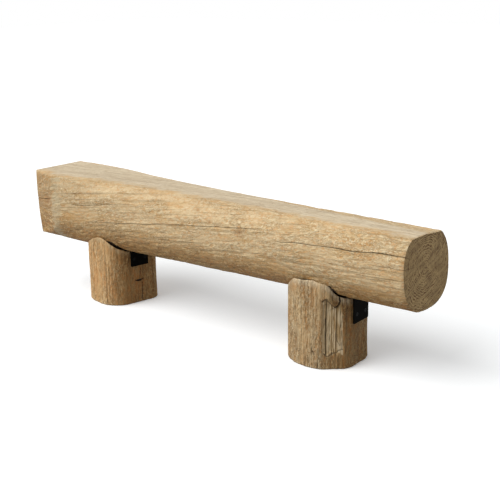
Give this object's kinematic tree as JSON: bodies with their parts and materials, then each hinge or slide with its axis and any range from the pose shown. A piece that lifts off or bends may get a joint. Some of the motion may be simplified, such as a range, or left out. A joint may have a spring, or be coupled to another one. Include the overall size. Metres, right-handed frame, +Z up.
{
  "type": "log bench",
  "caption": "Rustic bench: a long hewn log with a flat seat, thicker at one end, saddled on short round posts and tied to them with black steel angle brackets.",
  "frame": {"origin": "middle of the bench on the floor", "axes": "+X along the log towards its thin end, +Y from the front to the back, +Z up"},
  "size_m": [1.82, 0.3202, 0.5],
  "materials": {
    "log_wood": "hewn and weathered, seat sanded, unvarnished",
    "leg_wood": "hewn and weathered, unvarnished",
    "bracket_steel": "black paint, matte",
    "screw_steel": "black oxide, satin"
  },
  "bodies": {
    "root": {"seat_log": "log_wood", "butt_leg": "leg_wood", "thin_leg": "leg_wood", "butt_outer_bracket": "bracket_steel", "butt_inner_bracket": "bracket_steel", "thin_inner_bracket": "bracket_steel", "thin_outer_bracket": "bracket_steel", "butt_outer_leg_screws": "screw_steel", "butt_outer_log_screws": "screw_steel", "butt_inner_leg_screws": "screw_steel", "butt_inner_log_screws": "screw_steel", "thin_inner_leg_screws": "screw_steel", "thin_inner_log_screws": "screw_steel", "thin_outer_leg_screws": "screw_steel", "thin_outer_log_screws": "screw_steel"}
  },
  "joints": []
}
